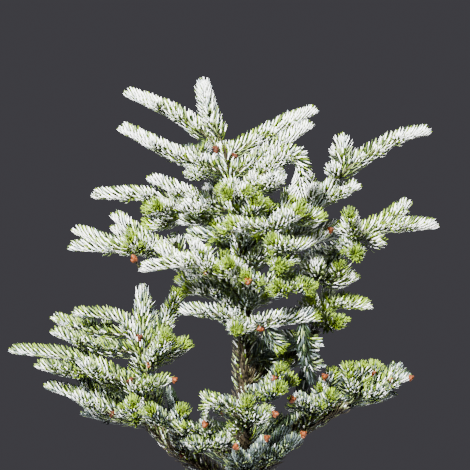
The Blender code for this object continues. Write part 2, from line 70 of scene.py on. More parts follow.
# host limb, place on it, legs of the stem, reach of its needles,
# twigs of (share, bearing, rise, length, reach)
massPlan = {
    "leader": ("trunk", 545, ((180, 66, 30), (180, 78, 38)), 9.5, ()),
    "top_left": ("trunk", 540, ((186, 36, 53), (186, 25, 60)), 9.5, ()),
    "top_right": ("trunk", 532, ((10, 28, 51), (5, 25, 51)), 9.5, ()),
    "top_left_low": ("trunk", 517, ((202, 19, 64), (191, 28, 57)), 10.0, ((0.22, 247, -10, 38, 8.5),)),
    "top_right_low": ("trunk", 514, ((331, 28, 42), (348, 35, 60)), 9.5, ()),
    "top_front": ("trunk", 500, ((270, 10, 39), (260, -6, 39)), 8.5, ((0.35, 291, 3, 46, 8.5),)),
    "arch": (
        "trunk", 486, ((308, 37, 54), (324, 39, 35), (331, -33, 20), (252, -71, 36)), 9.5,
        ((0.24, 299, 15, 63, 8),),
    ),
    "shoulder_left": (
        "trunk", 476, ((195, 21, 40), (191, 24, 57)), 9.0,
        ((0.3, 158, 12, 46, 8.5), (0.26, 226, 5, 50, 9), (0.12, 205, -10, 56, 8.5)),
    ),
    "right_high": (
        "right_high", 1, ((4, 47, 21), (357, 31, 49), (355, 17, 38)), 9.5,
        ((0.12, 103, 78, 38, 11.5), (0.08, 244, 22, 34, 8.5)),
    ),
    "inner_right": (
        "inner_right", 1, ((345, 17, 24), (351, 22, 43)), 10.0,
        ((0.1, 76, 52, 39, 8), (0.05, 301, 40, 41, 8)),
    ),
    "centre_right": (
        "trunk", 464, ((310, -3, 39), (306, 26, 39), (300, 24, 35)), 10.5,
        ((0.56, 209, 6, 59, 8.5), (0.5, 16, 67, 43, 8.5), (0.72, 358, 6, 38, 7.5), (0.36, 303, 75, 42, 8.5)),
    ),
    "left_high": (
        "left_high", 1, ((183, 24, 40), (183, 2, 67)), 9.0,
        ((0.22, 200, -8, 36, 9), (0.16, 243, 7, 58, 9), (0.06, 180, -19, 53, 9.5)),
    ),
    "left_mid": (
        "left_mid", 1, ((188, 13, 47), (184, 2, 70)), 9.0,
        ((0.3, 167, 12, 84, 9), (0.28, 241, 25, 55, 9), (0.02, 215, 63, 30, 9.5), (0.25, 173, 28, 52, 8.5),
         (0.12, 200, 36, 76, 10)),
    ),
    "left_mid_front": (
        "trunk", 384, ((221, 40, 72), (200, 0, 65)), 9.5,
        ((0.38, 198, 26, 78, 9), (0.3, 237, 40, 76, 9)),
    ),
    "front_high": (
        "front_high", 1, ((300, 58, 22), (286, 38, 29)), 9.5,
        ((0.4, 208, 14, 23, 8), (0.04, 198, -3, 61, 9)),
    ),
    "front_mid_right": (
        "trunk", 418, ((299, 28, 44), (337, 18, 44), (8, 25, 30)), 8.0,
        ((0.36, 221, 14, 51, 9), (0.72, 224, 14, 46, 9), (0.5, 277, -11, 46, 8.5)),
    ),
    "front_mid_left": ("trunk", 394, ((260, 35, 52), (256, 20, 50)), 10, ((0.5, 216, 21, 37, 8),)),
    "front_mid": (
        "front_mid", 1, ((336, 5, 30), (303, 0, 38)), 9.0,
        ((0.5, 239, 4, 38, 9), (0.08, 232, 21, 43, 8.5), (0.04, 352, 42, 46, 8.5)),
    ),
    "right_mid": (
        "right_mid", 1, ((355, 26, 26), (357, 3, 61)), 9.0,
        ((0.12, 16, 30, 60, 9.5), (0.06, 257, 31, 62, 9.5), (0.1, 321, -10, 31, 9), (0.03, 268, -12, 51, 9)),
    ),
    "right_under": (
        "right_mid", 0.55, ((338, -7, 28), (349, 15, 23)), 8.5,
        ((0.2, 262, 36, 46, 8), (0.5, 293, 52, 30, 9)),
    ),
    "right_low": (
        "right_low", 1, ((346, 58, 30), (340, 4, 42)), 9.0,
        ((0.2, 289, 5, 49, 9), (0.08, 253, 46, 53, 8), (0.1, 18, 74, 40, 9)),
    ),
    "belt_right": (
        "trunk", 347, ((290, 29, 56), (344, 11, 60)), 9.5,
        ((0.84, 56, -74, 74, 9), (0.5, 321, -46, 36, 9)),
    ),
    "belt_left": ("trunk", 364, ((226, 21, 36), (183, 7, 43)), 9.5, ((0.25, 273, 1, 59, 10),)),
    "under_left": ("trunk", 371, ((194, 40, 42), (187, 1, 34)), 9.0, ((0.3, 142, 24, 46, 8.5),)),
    "shade_right": ("trunk", 322, ((347, 29, 30), (345, 11, 32)), 9.5, ((0.3, 328, -24, 33, 9),)),
    "west_low": (
        "west", 1, ((191, 29, 46), (187, 21, 69)), 9.0,
        ((0.3, 172, 38, 54, 9), (0.18, 205, 26, 75, 8.5), (0.12, 265, 37, 55, 9)),
    ),
    "west_mid": (
        "west", 0.9, ((208, 63, 54), (178, 29, 66), (173, 6, 70)), 9.0,
        ((0.5, 195, 7, 67, 8.5), (0.36, 215, 29, 61, 9), (0.3, 158, 32, 69, 9), (0.33, 342, 14, 47, 8.5),
         (0.32, 147, -3, 48, 9)),
    ),
    "west_high": (
        "west", 0.8, ((166, 73, 75), (170, 66, 55), (189, 12, 52)), 10,
        ((0.62, 170, 10, 87, 8.5), (0.52, 194, 17, 93, 9), (0.5, 86, 76, 71, 11), (0.5, 18, 58, 79, 11),
         (0.42, 300, 44, 70, 9.5), (0.46, 343, 27, 57, 9), (0.36, 172, 14, 44, 9)),
    ),
    "west_inner": (
        "west", 0.55, ((248, 53, 54), (292, 49, 36)), 8.5,
        ((0.7, 232, 28, 53, 8.5), (0.06, 132, -12, 40, 8)),
    ),
    "front_low": (
        "front_low", 1, ((225, 40, 29), (207, 18, 23), (224, -32, 17)), 8.5,
        ((0.2, 309, 14, 44, 9), (0.1, 272, 44, 40, 8.5), (0.06, 231, -4, 31, 8.5)),
    ),
    "front_left": (
        "front_left", 1, ((221, 45, 26), (197, 13, 35)), 8.5,
        ((0.1, 240, 15, 44, 9), (0.1, 289, 22, 51, 8.5), (0.12, 263, 51, 43, 8)),
    ),
    "front_base": (
        "trunk", 198, ((280, 36, 58), (290, 41, 54)), 9.0,
        ((0.4, 256, 30, 65, 8.5), (0.5, 336, 33, 64, 8.5), (0.3, 355, 49, 64, 8.5)),
    ),
    "east": (
        "east", 1, ((353, 32, 39), (356, 18, 34)), 8.5,
        ((0.45, 25, 36, 39, 8), (0.2, 39, 50, 44, 9), (0.12, 247, 74, 44, 10), (0.15, 18, 76, 41, 9),
         (0.3, 308, 22, 38, 8)),
    ),
    "east_inner": (
        "east", 0.62, ((311, 57, 44), (296, 60, 32)), 8.5,
        ((0.4, 248, 30, 52, 9), (0.5, 289, 26, 52, 9), (0.45, 349, 64, 48, 9)),
    ),
    "east_front": (
        "trunk", 286, ((296, 21, 43), (335, 25, 42)), 9.0,
        ((0.5, 298, 40, 57, 8.5), (0.4, 291, 19, 70, 9)),
    ),
}

# the back: host, place, legs, reach, seed of its twigs
backPlan = {
    "back_top_right": ("trunk", 496, ((58, 14, 44), (62, 16, 46)), 9.5, 1),
    "back_top_left": ("trunk", 508, ((122, 12, 46), (116, 16, 48)), 9.5, 9),
    "back_shoulder": ("trunk", 468, ((86, 20, 58), (92, 12, 66)), 9.5, 7),
    "back_mid": ("trunk", 396, ((84, 22, 70), (80, 8, 74)), 9.5, 14),
    "back_mid_right": ("trunk", 410, ((52, 28, 64), (52, 12, 70)), 9.5, 48),
    "back_mid_left": ("trunk", 350, ((122, 32, 62), (110, 14, 66)), 9.5, 52),
    "back_low": ("trunk", 220, ((84, 6, 80), (90, 0, 74)), 9.5, 28),
    "back_low_right": ("trunk", 276, ((62, 28, 68), (70, 8, 66)), 9.5, 42),
    "back_low_left": ("trunk", 206, ((150, 27, 72), (148, 16, 70), (138, 2, 50)), 9.5, 22),
    "back_east": ("trunk", 210, ((24, 34, 84), (27, 28, 66), (24, 2, 42)), 9.5, 59),
}

# how a shoot takes its room
growth = {
    "stemRadius": 1.7, "twigRadius": 1.25, "station": 6.0, "limbStation": 12.0, "leastReach": 3.2, "gap": 0.5,
    "lowest": 168.0, "stemBare": 8.0, "twigBare": 2.0, "bow": 6.0, "leastTwig": 4, "leastCover": 3,
    "swellAt": (0.0, 0.10, 0.35, 0.80, 0.94, 1.0), "swell": (1.1, 1.25, 1.2, 1.05, 0.82, 0.45),
}

# side twigs of the back masses, in pairs
fanLook = {
    "shares": (0.36, 0.58, 0.78), "turn": 52.0, "length": 0.42, "slim": 0.95, "shareShake": 0.04,
    "turnShake": 9, "rise": (-16, 14), "taper": (1.25, 0.5), "lengthShake": (0.85, 1.1),
}

# the photograph's camera, as pixels of a 470 x 470 image
photoCamera = {
    "target": Vector((-8.0, 0.0, 453.6)), "elevation": 10.0, "distance": 1600.0, "focal": 1600.0,
    "half": 235.0,
}


def heading(bearing, rise):
    turn, lift = math.radians(bearing), math.radians(rise)
    return Vector((math.cos(turn) * math.cos(lift), math.sin(turn) * math.cos(lift), math.sin(lift)))


def cameraPlace():
    return photoCamera["target"] - heading(90, -photoCamera["elevation"]) * photoCamera["distance"]


def pixelOf(point):
    # where a point in millimetres falls in the photograph, and how far from the camera
    ahead = heading(90, -photoCamera["elevation"])
    side = Vector((1, 0, 0))
    above = side.cross(ahead)
    run = Vector(point) - cameraPlace()
    deep = run.dot(ahead)
    scale = photoCamera["focal"] / deep
    return photoCamera["half"] + run.dot(side) * scale, photoCamera["half"] - run.dot(above) * scale, deep


def walk(start, legs):
    # corners of a path of (bearing, rise, length) legs
    points = [start.copy()]
    for bearing, rise, length in legs:
        points.append(points[-1] + heading(bearing, rise) * length)
    return points


def smoothed(points, step):
    # points about a step apart on a smooth curve through the given ones
    ends = [points[0] * 2 - points[1]] + points + [points[-1] * 2 - points[-2]]
    made = []
    for a, b, c, d in zip(ends, ends[1:], ends[2:], ends[3:]):
        count = max(2, round((c - b).length / step))
        for t in (i / count for i in range(count)):
            square, cube = 2 * a - 5 * b + 4 * c - d, 3 * b - a - 3 * c + d
            made.append(0.5 * (2 * b + (c - a) * t + square * t * t + cube * t ** 3))
    return made + [points[-1].copy()]


def twigRun(foot, bearing, rise, length, bow, step):
    # a twig of two legs that bows upwards
    return smoothed(walk(foot, ((bearing, rise - bow, length / 2), (bearing, rise + bow, length / 2))), step)


def lengthsAlong(points):
    total, found = 0.0, [0.0]
    for a, b in zip(points, points[1:]):
        total += (b - a).length
        found.append(total)
    return found


def placeOn(points, share):
    # the point and the direction at a share of a path's length
    at = lengthsAlong(points)
    wanted = share * at[-1]
    for i in range(len(points) - 1):
        if wanted <= at[i + 1] or i == len(points) - 2:
            run = points[i + 1] - points[i]
            return points[i] + run * ((wanted - at[i]) / run.length), run.normalized()


def trunkRun():
    points = [Vector((lean, 0.0, height)) for height, lean, _ in trunkLine]
    return points, [radius for _, _, radius in trunkLine]


def trunkAt(height):
    for low, high in zip(trunkLine, trunkLine[1:]):
        if height <= high[0]:
            share = (height - low[0]) / (high[0] - low[0])
            return Vector((low[1] + (high[1] - low[1]) * share, 0.0, height))
    return Vector((trunkLine[-1][1], 0.0, trunkLine[-1][0]))


def boughRun(name):
    height, footRadius, tipRadius, legs = boughPlan[name]
    points = smoothed(walk(trunkAt(height), legs), growth["limbStation"])
    at = lengthsAlong(points)
    return points, [footRadius + (tipRadius - footRadius) * d / at[-1] for d in at]


def fanTwigs(legs, girth, seed):
    # side twigs in pairs, shorter towards the tip
    pick, look = random.Random(seed), fanLook
    length = sum(leg[2] for leg in legs)
    twigs = []
    for share in look["shares"]:
        bearing, rise = legs[0][:2] if share < 0.5 else legs[-1][:2]
        long = length * look["length"] * (look["taper"][0] - look["taper"][1] * share)
        for side in (-1, 1):
            twigs.append((
                share + pick.uniform(-look["shareShake"], look["shareShake"]),
                bearing + side * (look["turn"] + pick.uniform(-look["turnShake"], look["turnShake"])),
                rise + pick.uniform(*look["rise"]),
                long * pick.uniform(*look["lengthShake"]),
                girth * look["slim"],
            ))
    return tuple(twigs)


class TakenSpace:
    # the room that limbs and shoots have taken, as segments with a radius and an owner
    def __init__(self):
        self.starts, self.runs = np.zeros((0, 3)), np.zeros((0, 3))
        self.radii, self.owners = np.zeros(0), np.zeros(0, object)

    def take(self, points, radii, owner):
        line, radii = np.array(points), np.array(radii)
        self.starts = np.vstack((self.starts, line[:-1]))
        self.runs = np.vstack((self.runs, line[1:] - line[:-1]))
        self.radii = np.concatenate((self.radii, np.maximum(radii[:-1], radii[1:])))
        self.owners = np.concatenate((self.owners, np.full(len(line) - 1, owner, object)))

    def room(self, points, owner):
        # how far each point is from everything that others have taken
        keep = self.owners != owner
        starts, runs, radii = self.starts[keep], self.runs[keep], self.radii[keep]
        off = np.array(points)[:, None, :] - starts[None]
        share = np.clip((off * runs).sum(axis=2) / (runs * runs).sum(axis=1), 0.0, 1.0)
        return (np.linalg.norm(off - share[..., None] * runs, axis=2) - radii).min(axis=1)


def swell(share):
    # a shoot's reach: full at the foot, then slimmer to a blunt tip
    return float(np.interp(share, growth["swellAt"], growth["swell"]))


def fitReach(space, points, girth, owner, bare):
    # points and reach of the outer run of a shoot that has room for needles
    at = lengthsAlong(points)
    rooms = space.room(points, owner)
    kept = []
    for i in range(len(points) - 1, -1, -1):
        if at[i] < bare:
            break
        share = (at[i] - bare) / max(at[-1] - bare, 1.0)
        reach = min(girth * swell(share), rooms[i] - growth["gap"], points[i].z - growth["lowest"])
        if reach < growth["leastReach"]:
            if len(kept) > 1:
                break
            kept = []
            continue
        kept.append((points[i], reach))
    kept.reverse()
    return [k[0] for k in kept], [k[1] for k in kept]


def growPlant():
    # every shoot as (mass, line, radius, reach of its needles)
    space = TakenSpace()
    space.take(*trunkRun(), "trunk")
    for name in boughPlan:
        space.take(*boughRun(name), "bough_" + name)
    plan = dict(massPlan)
    for name, (host, place, legs, girth, seed) in backPlan.items():
        plan[name] = (host, place, legs, girth, fanTwigs(legs, girth, seed))
    stems = {}
    for name, (host, place, legs, _, _) in plan.items():
        start = trunkAt(place) if host == "trunk" else placeOn(boughRun(host)[0], place)[0]
        stems[name] = smoothed(walk(start, legs), growth["station"])
        space.take(stems[name], [growth["stemRadius"]] * len(stems[name]), name)
    shoots = []
    for name, (_, _, _, girth, _) in plan.items():
        cover, reach = fitReach(space, stems[name], girth, name, growth["stemBare"])
        if len(cover) > 1:
            space.take(cover, reach, name)
        shoots.append((name, stems[name], growth["stemRadius"], girth))
    for name, (_, _, _, _, twigs) in plan.items():
        for share, bearing, rise, length, girth in twigs:
            foot = placeOn(stems[name], share)[0]
            line = twigRun(foot, bearing, rise, length, growth["bow"], growth["station"])
            clear = list(space.room(line[1:], name) - growth["twigRadius"] - growth["gap"])
            while clear and min(clear) < 0:
                clear.pop()
                line.pop()
            if len(line) < growth["leastTwig"]:
                continue
            cover, reach = fitReach(space, line, girth, name, growth["twigBare"])
            if len(cover) < growth["leastCover"]:
                continue
            space.take(line, [growth["twigRadius"]] * len(line), name)
            space.take(cover, reach, name)
            shoots.append((name, line, growth["twigRadius"], girth))
    return shoots, space


# finer twigs that point towards or away from the viewer, out of a shoot or a bough
fineTwigs = {
    "shares": (0.26, 0.44, 0.62), "least": 38.0, "length": (15.0, 25.0), "girth": 7.0, "turn": 52.0,
    "rise": (-4.0, 22.0), "bow": 5.0, "follow": 0.5, "clear": 2.0, "foot": 4.0, "own": 9.0, "backApart": 1.4,
    "step": 4.0, "radius": 0.9, "seed": 63,
    "boughs": (
        "right_mid", "inner_right", "left_high", "left_mid", "front_high", "front_mid", "right_high",
        "right_low",
    ),
}

# shaded twigs where the photograph shows no sky: bough, place on it, bearing, rise and length
shadedTwigs = {
    # these twigs take the tints of belt_right, with its painted shade
    "mass": "belt_right", "girth": 8.5,
    "places": (
        ("right_mid", 0.58, 190, 48, 26), ("right_mid", 0.70, 200, 34, 28), ("right_mid", 0.83, 205, 14, 30),
        ("right_mid", 0.93, 196, -6, 26), ("left_mid", 0.5, 30, 55, 26), ("left_mid", 0.72, 60, 60, 24),
        ("right_low", 0.6, 170, 40, 26), ("right_low", 0.85, 185, 12, 28),
    ),
}


def nearest(rows, point):
    return np.linalg.norm(rows - np.array(point), axis=1).min()


def growFine(shoots, space):
    # finer twigs in pairs, left out where they would crowd their own mass or enter another's room
    look, dice, lines, made = fineTwigs, random.Random(fineTwigs["seed"]), {}, []
    for name, line, _, _ in shoots:
        lines.setdefault(name, []).append(np.array(line))
    for name, line, _, _ in shoots:
        long = lengthsAlong(line)[-1]
        own = look["own"] * (look["backApart"] if name.startswith("back") else 1.0)
        for share, facing in itertools.product(look["shares"], (-90.0, 90.0)):
            length = dice.uniform(*look["length"])
            rise = dice.uniform(*look["rise"])
            if long < look["least"] or long * (1.0 - share) < length:
                continue
            foot, ahead = placeOn(line, share)
            level = math.degrees(math.atan2(ahead.y, ahead.x))
            # the turn from the shoot's own bearing towards the front or the back
            swing = max(-look["turn"], min(look["turn"], (facing - level + 180.0) % 360.0 - 180.0))
            lift = math.degrees(math.asin(max(-1.0, min(1.0, ahead.z)))) * look["follow"] + rise
            twig = twigRun(foot, level + swing, lift, length, look["bow"], look["step"])
            if space.room(twig[1:], name).min() < look["clear"]:
                continue
            others = [other for other in lines[name] if nearest(other, foot) > look["foot"]]
            if others and nearest(np.concatenate(others), twig[-1]) < own:
                continue
            made.append((name, twig, look["radius"], look["girth"]))
            lines[name].append(np.array(twig))
    return made


# materials

def newMaterial(name, colour, roughness, **plain):
    made = bpy.data.materials.new(name)
    made.use_nodes = True
    shader = made.node_tree.nodes["Principled BSDF"]
    shader.inputs["Base Color"].default_value = (*colour, 1.0)
    shader.inputs["Roughness"].default_value = roughness
    for socket, value in plain.items():
        shader.inputs[socket.replace("_", " ")].default_value = value
    return made


def mottleGroup():
    # two noises of different size as one mask and one height
    made = bpy.data.node_groups.new("mottle", "ShaderNodeTree")
    for socket, value in (("Scale", 100.0), ("Stretch", 1.0)):
        made.interface.new_socket(socket, in_out="INPUT", socket_type="NodeSocketFloat").default_value = value
    for socket in ("Mask", "Height"):
        made.interface.new_socket(socket, in_out="OUTPUT", socket_type="NodeSocketFloat")
    nodes, links = made.nodes, made.links
    given, put, place, shape, spread, coarse, small, ramp, more, both = (nodes.new(kind) for kind in (
        "NodeGroupInput", "NodeGroupOutput", "ShaderNodeTexCoord", "ShaderNodeVectorMath",
        "ShaderNodeCombineXYZ", "ShaderNodeTexNoise", "ShaderNodeTexNoise", "ShaderNodeMapRange",
        "ShaderNodeMath", "ShaderNodeMath",
    ))
    shape.operation, more.operation, both.operation = "MULTIPLY", "MULTIPLY", "ADD"
    more.inputs[1].default_value = 5.0
    spread.inputs["X"].default_value = spread.inputs["Y"].default_value = 1.0
    ramp.inputs["From Min"].default_value, ramp.inputs["From Max"].default_value = 0.38, 0.62
    coarse.inputs["Detail"].default_value = small.inputs["Detail"].default_value = 3.0
    links.new(given.outputs["Stretch"], spread.inputs["Z"])
    links.new(place.outputs["Object"], shape.inputs[0])
    links.new(spread.outputs["Vector"], shape.inputs[1])
    links.new(given.outputs["Scale"], more.inputs[0])
    for texture in (coarse, small):
        links.new(shape.outputs["Vector"], texture.inputs["Vector"])
    links.new(given.outputs["Scale"], coarse.inputs["Scale"])
    links.new(more.outputs["Value"], small.inputs["Scale"])
    links.new(coarse.outputs["Fac"], ramp.inputs["Value"])
    links.new(ramp.outputs["Result"], put.inputs["Mask"])
    links.new(coarse.outputs["Fac"], both.inputs[0])
    links.new(small.outputs["Fac"], both.inputs[1])
    links.new(both.outputs["Value"], put.inputs["Height"])
    return made


def mottled(name, dark, light, scale, roughness, bump, stretch=1.0, **plain):
    # a finish of two colours in patches, with a matching relief
    made = newMaterial(name, dark, roughness[0], **plain)
    nodes, links = made.node_tree.nodes, made.node_tree.links
    shader = nodes["Principled BSDF"]
    patches, mix, rough, relief = (nodes.new(kind) for kind in (
        "ShaderNodeGroup", "ShaderNodeMix", "ShaderNodeMapRange", "ShaderNodeBump"
    ))
    patches.node_tree = bpy.data.node_groups["mottle"]
    patches.inputs["Scale"].default_value = scale
    patches.inputs["Stretch"].default_value = stretch
    mix.data_type = "RGBA"
    mix.inputs["A"].default_value, mix.inputs["B"].default_value = (*dark, 1.0), (*light, 1.0)
    rough.inputs["To Min"].default_value, rough.inputs["To Max"].default_value = roughness
    relief.inputs["Strength"].default_value = bump
    relief.inputs["Distance"].default_value = 0.0008
    links.new(patches.outputs["Mask"], mix.inputs["Factor"])
    links.new(patches.outputs["Mask"], rough.inputs["Value"])
    links.new(patches.outputs["Height"], relief.inputs["Height"])
    links.new(mix.outputs["Result"], shader.inputs["Base Color"])
    links.new(rough.outputs["Result"], shader.inputs["Roughness"])
    links.new(relief.outputs["Normal"], shader.inputs["Normal"])
    return made


mottleGroup()
# dark brown bark, made darker than its own colour by painted shade, for a trunk and boughs that stand in the
# plant's own shade
barkAndPaintedShade = mottled(
    "bark", (0.006, 0.0045, 0.002), (0.026, 0.018, 0.008), 260.0, (0.75, 0.95), 0.6, 0.35,
    Specular_IOR_Level=0.2,
)
twigFinish = mottled("youngBark", (0.03, 0.033, 0.009), (0.075, 0.068, 0.024), 500.0, (0.65, 0.85), 0.4)
budFinish = mottled(
    "resinousBud", (0.050, 0.009, 0.0008), (0.16, 0.036, 0.003), 600.0, (0.35, 0.6), 0.4,
    Specular_IOR_Level=0.3,
)
oldBudFinish = mottled(
    "driedBud", (0.016, 0.0035, 0.0008), (0.065, 0.016, 0.004), 500.0, (0.5, 0.8), 0.5,
    Specular_IOR_Level=0.15,
)
potFinish = mottled("mouldedPlastic", (0.030, 0.031, 0.033), (0.042, 0.043, 0.045), 900.0, (0.42, 0.55), 0.12)
soilFinish = mottled("barkCompost", (0.030, 0.018, 0.011), (0.10, 0.06, 0.035), 300.0, (0.85, 1.0), 0.9)
chipFinish = mottled("barkChip", (0.09, 0.045, 0.025), (0.22, 0.12, 0.065), 240.0, (0.75, 0.95), 0.7)

# tints of the needles, in the order that tintsOf deals them out; the dark slate wax is painted shade, and
# grey wax and deep green are also dealt more often where a mass carries painted shade
needleTints = {
    "deepGreen": ((0.016, 0.032, 0.009), 0.45),
    "midGreen": ((0.062, 0.105, 0.008), 0.42),
    "yellowGreen": ((0.200, 0.310, 0.004), 0.42),
    "palestWax": ((0.93, 0.95, 0.93), 0.5),
    "greyWax": ((0.47, 0.56, 0.57), 0.55),
    "greenWax": ((0.25, 0.33, 0.11), 0.5),
    # painted shade: a dark slate wax for needles that stand in the plant's own shade
    "paintedShadeWax": ((0.07, 0.095, 0.095), 0.55),
    "oldBrown": ((0.028, 0.022, 0.006), 0.6),
    "oldTan": ((0.055, 0.042, 0.016), 0.6),
}
needleFinishes = [newMaterial(name, *look, Specular_IOR_Level=0.4) for name, look in needleTints.items()]
print("materials:", len(bpy.data.materials))

# helpers for pieces

def linked(name, data):
    made = bpy.data.objects.new(name, data)
    bpy.context.scene.collection.objects.link(made)
    return made


def finishedMesh(name, shape):
    # turns a worked shape into a mesh and lets the shape go
    made = bpy.data.meshes.new(name)
    shape.to_mesh(made)
    shape.free()
    return made


def smoothOut(shape, within):
    # joins corners that meet, turns the faces outwards and shades them smooth
    bmesh.ops.remove_doubles(shape, verts=shape.verts, dist=within)
    bmesh.ops.recalc_face_normals(shape, faces=shape.faces)
    for face in shape.faces:
        face.smooth = True


def keepPiece(name, mesh, finishes, replaced=()):
    for finish in finishes:
        mesh.materials.append(finish)
    made = linked(name, mesh)
    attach(made, "root")
    if replaced:
        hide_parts(*replaced)
    return made


def meshFromArrays(name, verts, faces, tints=None):
    # one joined mesh from an array of corners, in millimetres, and an array of faces of one size
    sides = faces.shape[1]
    mesh = bpy.data.meshes.new(name)
    mesh.vertices.add(len(verts))
    mesh.vertices.foreach_set("co", (verts * mm).astype(np.float32).ravel())
    mesh.loops.add(faces.size)
    mesh.loops.foreach_set("vertex_index", faces.astype(np.int32).ravel())
    mesh.polygons.add(len(faces))
    mesh.polygons.foreach_set("loop_start", np.arange(0, faces.size, sides, dtype=np.int32))
    mesh.polygons.foreach_set("loop_total", np.full(len(faces), sides, np.int32))
    if tints is not None:
        mesh.polygons.foreach_set("material_index", tints.astype(np.int32))
    mesh.update(calc_edges=True)
    mesh.validate()
    return mesh


def tubeMesh(name, runs, sides):
    # closed tubes of changing radius along lines of points, as one mesh
    curve = bpy.data.curves.new(name, "CURVE")
    curve.dimensions = "3D"
    curve.bevel_depth = mm
    curve.bevel_resolution = sides // 2 - 2
    curve.use_fill_caps = True
    for points, radii in runs:
        spline = curve.splines.new("POLY")
        spline.points.add(len(points) - 1)
        for spot, point, radius in zip(spline.points, points, radii):
            spot.co = (*(point * mm), 1.0)
            spot.radius = radius
    line = linked(name + "Line", curve)
    mesh = bpy.data.meshes.new_from_object(line.evaluated_get(bpy.context.evaluated_depsgraph_get()))
    bpy.data.objects.remove(line)
    mesh.materials.clear()
    shape = bmesh.new()
    shape.from_mesh(mesh)
    smoothOut(shape, 0.02 * mm)
    shape.to_mesh(mesh)
    shape.free()
    return mesh


# trunk and boughs with the relief of young fir bark
barkLook = {
    "step": 2.5, "ridge": 0.35, "knot": 0.45, "ridgeAcross": 0.35, "ridgeAlong": 0.08, "knotSize": 0.30,
    "knotShift": (31.0, 7.0, 3.0), "knotOver": 0.25, "sides": 20, "boughSides": 12, "boughShares": (0.7, 0.6),
}


def resampled(points, radii, step):
    # points an even step apart on a limb, and their radii
    at = lengthsAlong(points)
    count = max(3, round(at[-1] / step))
    marks = [at[-1] * i / count for i in range(count + 1)]
    line = [placeOn(points, mark / at[-1])[0] for mark in marks]
    return line, [float(np.interp(mark, at, radii)) for mark in marks]


def roughen(mesh, ridge, knot):
    # pushes the surface in and out: long ridges, then small resin blisters
    look = barkLook
    across, long = look["ridgeAcross"], look["ridgeAlong"]
    for vertex in mesh.vertices:
        spot = vertex.co * 1000.0
        push = noise.noise(Vector((spot.x * across, spot.y * across, spot.z * long))) * ridge
        blister = noise.noise(spot * look["knotSize"] + Vector(look["knotShift"])) - look["knotOver"]
        vertex.co += vertex.normal * (push + max(0.0, blister) * knot * 2.0) * mm


def buildLimbs():
    look = barkLook
    trunk = tubeMesh("trunkBark", [resampled(*trunkRun(), look["step"])], look["sides"])
    roughen(trunk, look["ridge"], look["knot"])
    keepPiece("trunk_bark", trunk, [barkAndPaintedShade], ["trunk"])
    runs = [resampled(*boughRun(name), look["step"]) for name in boughPlan]
    boughs = tubeMesh("boughBark", runs, look["boughSides"])
    roughen(boughs, look["ridge"] * look["boughShares"][0], look["knot"] * look["boughShares"][1])
    keepPiece("bough_bark", boughs, [barkAndPaintedShade], ["bough_" + name for name in boughPlan])
    print("bark: trunk and", len(runs), "boughs")


buildLimbs()
shoots, space = growPlant()
fine = growFine(shoots, space)
onBoughs = growFine([("bough_" + name, boughRun(name)[0], 0.0, 0.0) for name in fineTwigs["boughs"]], space)
fine += [(name.removeprefix("bough_"), *rest) for name, *rest in onBoughs]
for bough, share, bearing, rise, length in shadedTwigs["places"]:
    foot = placeOn(boughRun(bough)[0], share)[0]
    twig = twigRun(foot, bearing, rise, length, growth["bow"], fineTwigs["step"])
    fine.append((shadedTwigs["mass"], twig, fineTwigs["radius"], shadedTwigs["girth"]))
print("grown:", len(shoots), "shoots and", len(fine), "finer twigs")

# needles; a pair of values is at the shoot's foot and at its tip
needleLook = {
    "perMm": (1.6, 4.0), "dense": (2.1, 0.9), "fewest": 12, "width": (1.7, 1.35), "ridge": 0.45,
    "length": (20.0, 12.0), "slimUnder": (9.0, 0.6), "lean": (38.0, 50.0), "targetForward": (0.62, 0.85),
    "curlShare": (0.62, 0.9), "curlMore": (0.0, 14.0), "curlRange": (0.05, 1.7), "bend": 1.25, "turn": 137.5,
    "first": 2.0, "tipStop": 0.8, "segments": 3, "widths": (0.55, 1.0, 0.98, 0.5), "crowd": 5.0, "low": 6.0,
    "least": 3.0, "beyond": 3.0, "young": 12.0, "youngLean": 16.0,
    "endSwell": (1.15, 1.28, 1.26, 1.12, 0.96, 0.74, 0.15), "shake": 2.8, "leanShake": 0.8,
    "asideShake": 0.02, "pull": 0.1, "upFlare": 0.5, "sink": 0.55,
}
openLook = dict(
    needleLook, perMm=(1.6, 5.0), length=(18.0, 12.0), lean=(36.0, 30.0), youngLean=6.0, curlMore=(0.0, 0.0),
    endSwell=(1.15, 1.22, 1.2, 1.2, 1.12, 0.92, 0.3),
)
crownLook = dict(needleLook, perMm=(2.2, 5.0), shake=2.0)
# a shoot that stands upright is a full flame, and one that hangs is a slim brush, dark from the painted shade
# of its tints
flameLook = dict(
    needleLook, perMm=(1.8, 3.6), length=(20.0, 17.0), lean=(44.0, 52.0), targetForward=(1.3, 1.8),
    curlShare=(0.7, 0.9), endSwell=(1.15, 1.3, 1.3, 1.25, 1.15, 0.95, 0.3), upFlare=0.3,
)
hangLook = dict(
    needleLook, perMm=(2.6, 3.6), length=(15.0, 12.0), lean=(58.0, 64.0), width=(1.5, 1.3),
    curlMore=(0.0, 0.0), endSwell=(0.95, 1.0, 1.0, 0.9, 0.8, 0.6, 0.2),
)
fineLook = dict(needleLook, perMm=(1.8, 3.0), length=(13.0, 10.0))
limbLook = dict(
    needleLook, perMm=(2.7, 2.7), length=(14.0, 14.0), width=(1.5, 1.5), endSwell=(1.0,) * 7, shake=9.0,
    crowd=12.0, least=6.0, sink=0.92,
)

# which shoots take which look, by the rise of their direction or by their mass
shootLook = {
    "steepRise": 0.9, "hangRise": 0.6, "flame": {"west_high"},
    "crown": {"leader", "top_left", "top_left_low", "top_right"}, "greenWithin": 16.0, "seed": 1000,
    "limbGirth": 13.0, "limbFrom": 182.0, "limbSeed": 2000,
}

